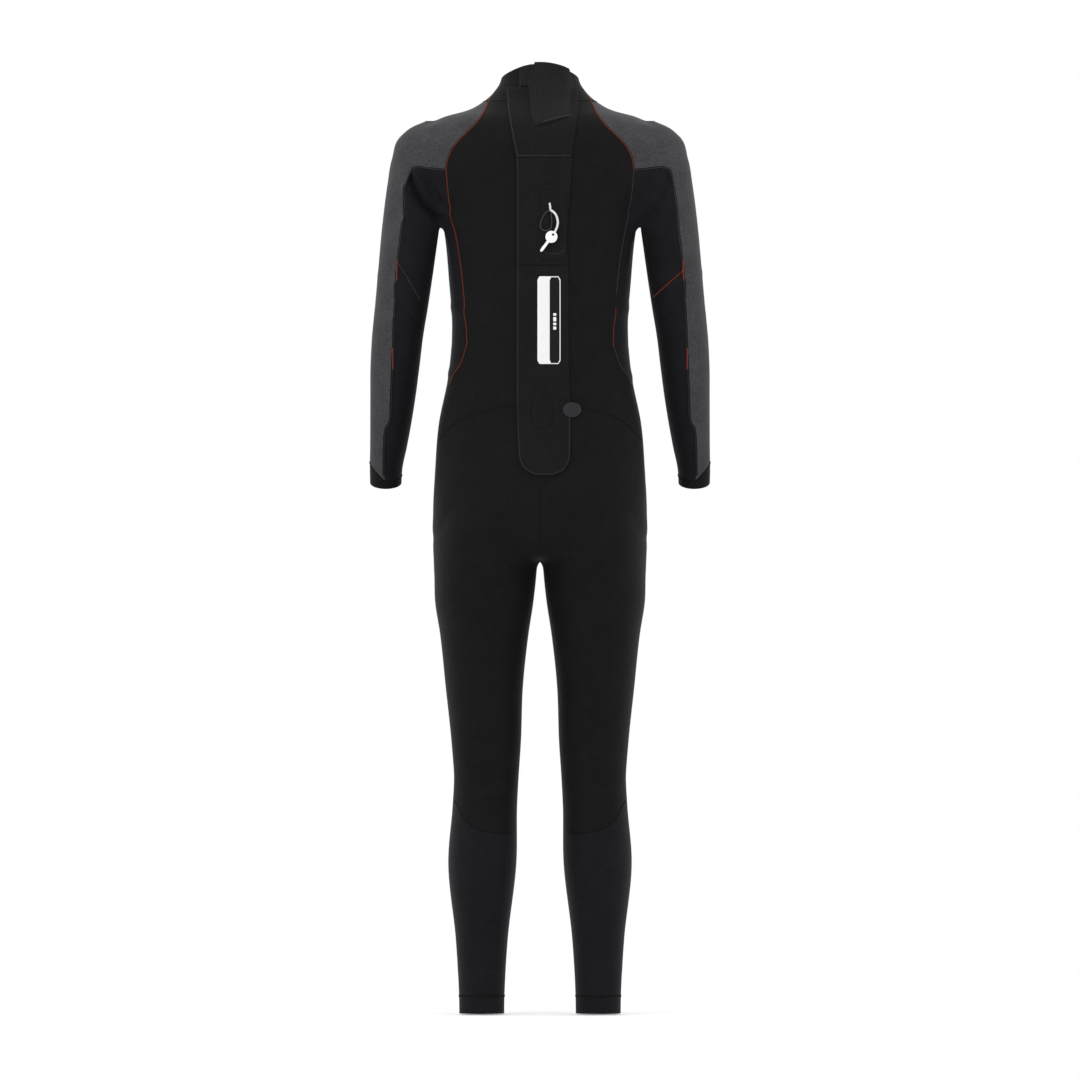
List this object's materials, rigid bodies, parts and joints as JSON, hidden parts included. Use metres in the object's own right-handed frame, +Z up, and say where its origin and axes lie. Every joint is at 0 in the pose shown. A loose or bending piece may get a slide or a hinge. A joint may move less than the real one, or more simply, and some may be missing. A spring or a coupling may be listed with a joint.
{
  "type": "full wetsuit",
  "caption": "Full-length neoprene wetsuit turned inside out, with back zip, covering flap, collar closing tab, key pocket and grey raglan sleeves.",
  "frame": {"origin": "middle of the collar seam, where the neck hangs from a hanger or from the wearer's shoulders", "axes": "+Z up towards the neck, the zip side faces -Y, the chest faces +Y, the wearer's left is at -X"},
  "size_m": [0.539, 0.244, 1.5001],
  "materials": {
    "black_neoprene": "nylon-lined neoprene, matt, fine knit",
    "flap_neoprene": "nylon-lined neoprene, matt, fine knit",
    "collar_neoprene": "soft-lined neoprene, matt",
    "grey_neoprene": "melange grey nylon-lined neoprene",
    "blue_black_neoprene": "nylon-lined neoprene, slightly blue",
    "patch_rubber": "heat-pressed reinforcement",
    "zip_tape": "woven tape with a moulded coil",
    "moulded_plastic": "moulded acetal",
    "hook_and_loop": "hook and loop pad",
    "elastic": "round elastic cord",
    "white_plastic": "moulded white plastic",
    "white_cord": "twisted white cord",
    "label": "printed label"
  },
  "bodies": {
    "suit": {"collar_band": "collar_neoprene", "chest_panel": "black_neoprene", "flap_base": "flap_neoprene", "flap_lower_fold": "flap_neoprene", "flap_upper_fold": "flap_neoprene", "flap_top": "flap_neoprene", "round_patch": "patch_rubber", "zip_end_tab": "flap_neoprene", "hook_pad": "hook_and_loop", "collar_tab_fold": "collar_neoprene", "left_back_panel": "black_neoprene", "left_side_panel": "blue_black_neoprene", "left_shoulder_panel": "grey_neoprene", "left_seat_panel": "black_neoprene", "left_front_hip_panel": "black_neoprene", "left_sleeve_top": "grey_neoprene", "left_thigh_top": "black_neoprene", "left_zip_tape": "zip_tape", "right_back_panel": "black_neoprene", "right_side_panel": "blue_black_neoprene", "right_shoulder_panel": "grey_neoprene", "right_seat_panel": "black_neoprene", "right_front_hip_panel": "black_neoprene", "right_sleeve_top": "grey_neoprene", "right_thigh_top": "black_neoprene", "right_zip_tape": "zip_tape"},
    "flap": {"back_flap": "flap_neoprene", "key_pocket": "flap_neoprene", "name_label": "label", "bar_tack": "white_cord"},
    "key": {"key_loop": "elastic", "key_cord": "white_cord", "spare_key": "white_plastic"},
    "closing_tab": {"collar_tab": "collar_neoprene", "loop_pad": "hook_and_loop"},
    "slider": {"zip_slider": "moulded_plastic"},
    "puller": {"zip_puller": "moulded_plastic"},
    "left_sleeve": {"left_upper_sleeve": "grey_neoprene", "left_elbow": "grey_neoprene"},
    "left_forearm": {"left_forearm_outer": "grey_neoprene", "left_forearm_inner": "blue_black_neoprene", "left_cuff": "black_neoprene"},
    "left_thigh": {"left_thigh_back": "black_neoprene", "left_thigh_front": "black_neoprene", "left_knee": "black_neoprene"},
    "left_shin": {"left_calf_panel": "blue_black_neoprene", "left_shin_panel": "black_neoprene", "left_ankle_hem": "black_neoprene"},
    "right_sleeve": {"right_upper_sleeve": "grey_neoprene", "right_elbow": "grey_neoprene"},
    "right_forearm": {"right_forearm_outer": "grey_neoprene", "right_forearm_inner": "blue_black_neoprene", "right_cuff": "black_neoprene"},
    "right_thigh": {"right_thigh_back": "black_neoprene", "right_thigh_front": "black_neoprene", "right_knee": "black_neoprene"},
    "right_shin": {"right_calf_panel": "blue_black_neoprene", "right_shin_panel": "black_neoprene", "right_ankle_hem": "black_neoprene"}
  },
  "joints": [
    {"name": "left_sleeve_lift", "type": "hinge", "parent": "suit", "child": "left_sleeve", "pos_m": [-0.205, -0.006, -0.206], "axis": [0, 1, 0], "range_deg": [0, 50], "stiffness_Nm_per_rad": 0.25, "deforming": ["left_sleeve_top"]},
    {"name": "left_elbow_bend", "type": "hinge", "parent": "left_sleeve", "child": "left_forearm", "pos_m": [-0.2245, 0.004, -0.371], "axis": [1, 0, 0], "range_deg": [0, 70], "stiffness_Nm_per_rad": 0.12, "deforming": ["left_elbow"]},
    {"name": "left_leg_swing", "type": "hinge", "parent": "suit", "child": "left_thigh", "pos_m": [-0.088, 0, -0.751], "axis": [1, 0, 0], "range_deg": [-15, 40], "stiffness_Nm_per_rad": 1, "deforming": ["left_thigh_top"]},
    {"name": "left_knee_bend", "type": "hinge", "parent": "left_thigh", "child": "left_shin", "pos_m": [-0.086, 0, -1.061], "axis": [-1, 0, 0], "range_deg": [0, 60], "stiffness_Nm_per_rad": 0.3, "deforming": ["left_knee"]},
    {"name": "right_sleeve_lift", "type": "hinge", "parent": "suit", "child": "right_sleeve", "pos_m": [0.205, -0.006, -0.206], "axis": [0, -1, 0], "range_deg": [0, 50], "stiffness_Nm_per_rad": 0.25, "deforming": ["right_sleeve_top"]},
    {"name": "right_elbow_bend", "type": "hinge", "parent": "right_sleeve", "child": "right_forearm", "pos_m": [0.2245, 0.004, -0.371], "axis": [1, 0, 0], "range_deg": [0, 70], "stiffness_Nm_per_rad": 0.12, "deforming": ["right_elbow"]},
    {"name": "right_leg_swing", "type": "hinge", "parent": "suit", "child": "right_thigh", "pos_m": [0.088, 0, -0.751], "axis": [1, 0, 0], "range_deg": [-15, 40], "stiffness_Nm_per_rad": 1, "deforming": ["right_thigh_top"]},
    {"name": "right_knee_bend", "type": "hinge", "parent": "right_thigh", "child": "right_shin", "pos_m": [0.086, 0, -1.061], "axis": [-1, 0, 0], "range_deg": [0, 60], "stiffness_Nm_per_rad": 0.3, "deforming": ["right_knee"]},
    {"name": "flap_swing", "type": "hinge", "parent": "suit", "child": "flap", "pos_m": [-0.0375, -0.1095, -0.266], "axis": [0, 0, -1], "range_deg": [0, 50], "stiffness_Nm_per_rad": 0.03, "deforming": ["flap_lower_fold", "flap_upper_fold"]},
    {"name": "tab_peel", "type": "hinge", "parent": "suit", "child": "closing_tab", "pos_m": [0.043, -0.092, -0.029], "axis": [-0.0414, 0.4756, 0.8787], "range_deg": [0, 60], "stiffness_Nm_per_rad": 0.02, "deforming": ["collar_tab_fold"]},
    {"name": "zip_run", "type": "slide", "parent": "suit", "child": "slider", "axis": [0, 0, -1], "range_m": [0, 0.41]},
    {"name": "puller_swing", "type": "hinge", "parent": "slider", "child": "puller", "pos_m": [0, -0.0981, -0.0775], "axis": [1, 0, 0], "range_deg": [0, 165]},
    {"name": "key_swing", "type": "hinge", "parent": "flap", "child": "key", "pos_m": [0.015, -0.119, -0.1715], "axis": [-1, 0, 0], "range_deg": [0, 100]}
  ]
}
